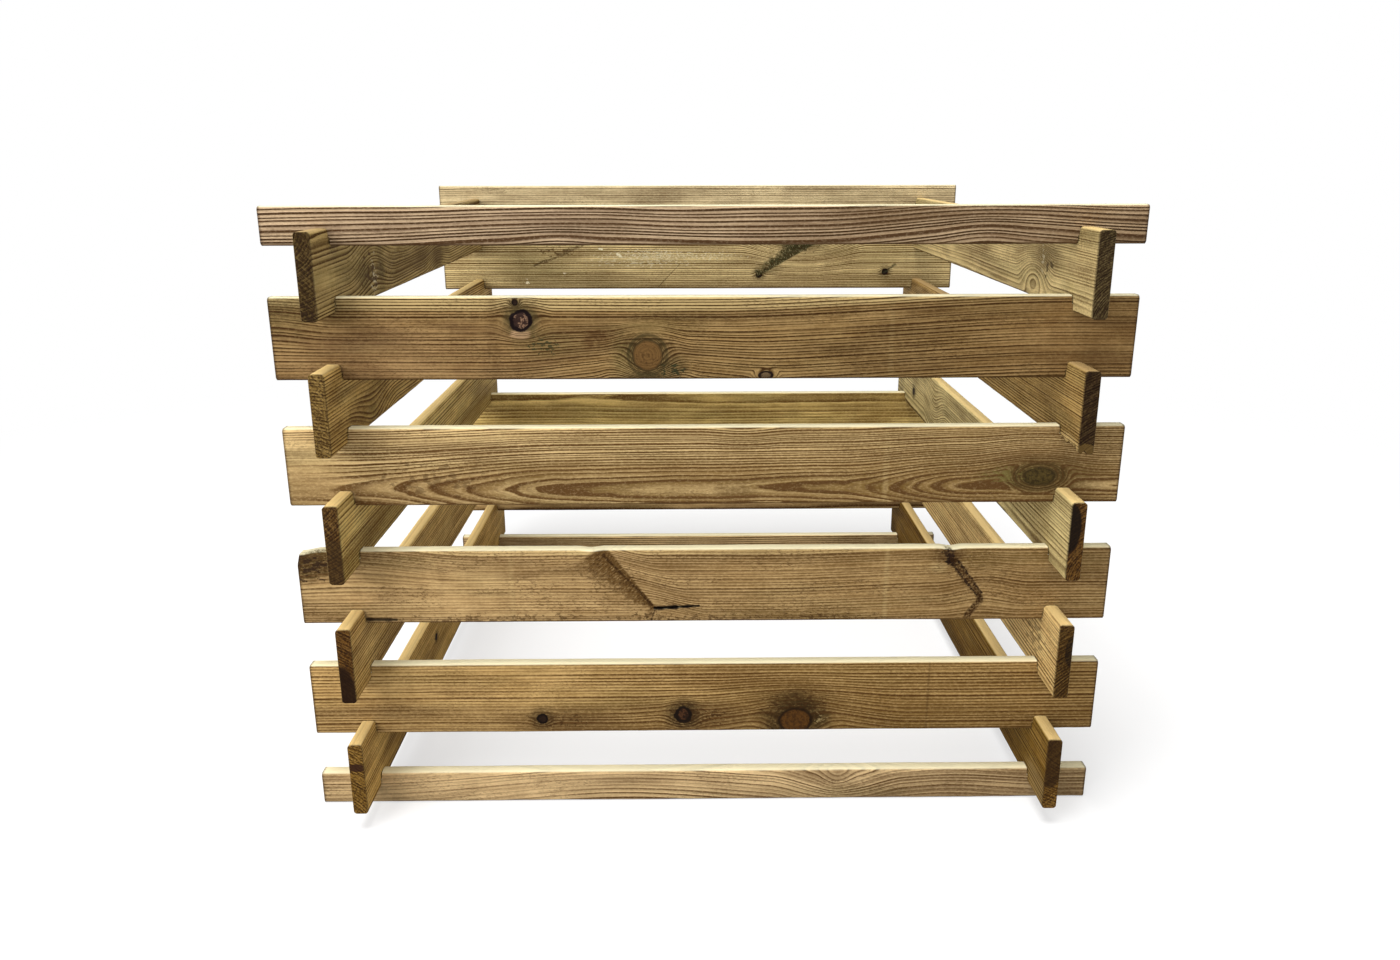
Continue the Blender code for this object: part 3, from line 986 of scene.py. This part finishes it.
def cracked(mesh, cracks, thickness):
    """The board with thin wedge-shaped cracks cut into its shown face."""
    cutters = []
    for start, end, width, depth in cracks:
        start = face_point(start)
        end = face_point(end)
        half = Vector((0, 0, width * MM / 2))
        mouth = Vector((0, -thickness / 2 - CRACK_MOUTH, 0))
        root = Vector((0, -thickness / 2 + depth * MM, 0))
        corners = [start + half + mouth, start - half + mouth, start + root, end + mouth, end + root]
        wedge = bpy.data.meshes.new("crack")
        wedge.from_pydata(corners, [], [(0, 2, 1), (0, 1, 3), (1, 2, 4, 3), (0, 3, 4, 2)])
        cutters.append(wedge)
    return cut(mesh, cutters)


def dent(mesh, dents):
    """Moves the wood inwards round each dent."""
    for dent_x, dent_z, width, height, move_x, move_z in dents:
        for vertex in mesh.vertices:
            away = math.hypot(
                (vertex.co.x - dent_x * MM) / (width * MM), (vertex.co.z - dent_z * MM) / (height * MM))
            weight = max(0, 1 - away) ** 2 * (1 + 2 * min(1, away))
            vertex.co += Vector((move_x, 0, move_z)) * (weight * MM)


def splinter(mesh, splinters, seed):
    """Moves an edge of the board inwards by ragged amounts, between two places along it."""
    for start_x, end_x, edge_z, depth in splinters:
        for vertex in mesh.vertices:
            x, y, z = vertex.co / MM
            near = max(0, 1 - abs(z - edge_z) / SPLINTER_HEIGHT)
            after = min(1, max(0, (x - start_x) / SPLINTER_RUN_IN))
            before = min(1, max(0, (end_x + SPLINTER_RUN_IN - x) / SPLINTER_RUN_IN))
            inside = after * before
            ragged = 0.5 + noise.noise(Vector((x * 0.31, y * 0.25, seed)))
            shown = 0.5 - y / SPLINTER_DEPTH
            vertex.co.z -= math.copysign(near * inside * shown * ragged * depth * MM, edge_z)


def make_board(node, facts, seed, bars):
    """One detailed board in the place of its CAD node."""
    low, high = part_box(node)
    middle = (low + high) / 2
    size = high - low
    side = node.split("_")[0]
    along_y = side in ("left", "right")
    length = size.y if along_y else size.x
    thickness = size.x if along_y else size.y
    number = int(node.split("_")[-1])
    below = along_y or number > 1
    above = along_y or number < TOP_COURSE
    kind = (round(length, 4), round(thickness, 4), round(size.z, 4), below, above)
    if kind not in bars:
        bars[kind] = notched_bar(*kind)
    mesh = bars[kind].copy()
    if facts["cracks"]:
        mesh = cracked(mesh, facts["cracks"], thickness)
    mesh.name = node
    weather(mesh, kind[:3], seed)
    dent(mesh, facts["dents"])
    splinter(mesh, facts["splinters"], seed)
    mesh.shade_smooth()
    mesh.set_sharp_from_angle(angle=SMOOTH_BELOW)
    mesh.materials.clear()
    mesh.materials.append(wood_material(f"{node}_wood", facts, seed))
    board = add(f"{node}_detailed", mesh)
    turn = {"left": 90, "right": -90}.get(side, 0)
    board.matrix_world = Matrix.Translation(middle) @ Matrix.Rotation(math.radians(turn), 4, "Z")
    bpy.context.view_layer.update()
    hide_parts(node)
    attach(board, next(b for b, nodes in frame["record"]["behaviour"]["bodies"].items() if node in nodes))


def make_boards():
    bars = {}
    for seed, (node, facts) in enumerate(BOARDS.items()):
        make_board(node, facts, seed * 7.3 + 1, bars)


def make_camera():
    """The photograph's viewpoint."""
    data = bpy.data.cameras.new("camera")
    data.sensor_width = CAMERA_SENSOR
    data.lens = CAMERA_LENS
    data.shift_y = CAMERA_SHIFT_Y
    camera = add("camera", data)
    camera.location = CAMERA_PLACE
    camera.rotation_euler = (
        math.radians(90 - CAMERA_PITCH), math.radians(CAMERA_ROLL), math.radians(-CAMERA_YAW))
    bpy.context.scene.camera = camera


def make_floor():
    """A pale floor that takes a soft shadow near the bin and turns into the white backdrop."""
    mesh = bpy.data.meshes.new("floor")
    half = FLOOR_SIZE / 2
    corners = [(-half, -half, 0), (half, -half, 0), (half, half, 0), (-half, half, 0)]
    mesh.from_pydata(corners, [], [(0, 1, 2, 3)])
    material = bpy.data.materials.new("floor_paint")
    material.use_nodes = True
    tree = material.node_tree
    tree.nodes.clear()
    graph = Graph(tree)
    camera_ray = graph.node("ShaderNodeLightPath", {}, "Is Camera Ray")
    place = graph.node("ShaderNodeTexCoord", {}, "Object")
    away = graph.vector("LENGTH", place, output=1)
    far = graph.step(away, FLOOR_NEAR, FLOOR_FAR)
    matt = graph.node("ShaderNodeBsdfDiffuse", {"Color": (FLOOR_SHADE, FLOOR_SHADE, FLOOR_SHADE, 1)})
    glow = graph.node("ShaderNodeEmission", {"Color": (1, 1, 1, 1), "Strength": camera_ray * FLOOR_GLOW})
    near_shader = graph.node("ShaderNodeAddShader", {0: matt, 1: glow})
    white = graph.node("ShaderNodeEmission", {"Color": (1, 1, 1, 1), "Strength": 1.0})
    paint = graph.node("ShaderNodeMixShader", {0: far, 1: near_shader, 2: white})
    output = tree.nodes.new("ShaderNodeOutputMaterial")
    tree.links.new(paint.socket, output.inputs["Surface"])
    floor = add("floor", mesh)
    mesh.materials.append(material)


def make_light():
    """A white surround and two large soft lamps: one to the left in front, one above."""
    world = bpy.data.worlds.new("studio")
    bpy.context.scene.world = world
    world.use_nodes = True
    graph = Graph(world.node_tree)
    seen = 0
    for ray in ("Is Camera Ray", "Is Glossy Ray", "Is Transmission Ray"):
        seen = graph.math("MAXIMUM", seen, graph.node("ShaderNodeLightPath", {}, ray))
    background = world.node_tree.nodes["Background"]
    background.inputs["Color"].default_value = (1, 1, 1, 1)
    graph.feed(background.inputs["Strength"], graph.step(seen, 0, 1, SKY_LEVEL, 1.0))
    for name, (place, target, width, power) in LAMPS.items():
        data = bpy.data.lights.new(name, "AREA")
        data.energy = power
        data.shape = "DISK"
        data.size = width
        lamp = add(name, data)
        lamp.location = place
        lamp.rotation_euler = (Vector(target) - Vector(place)).to_track_quat("-Z", "Y").to_euler()


make_camera()
make_floor()
make_light()
make_boards()
bpy.context.scene.view_settings.view_transform = "Standard"
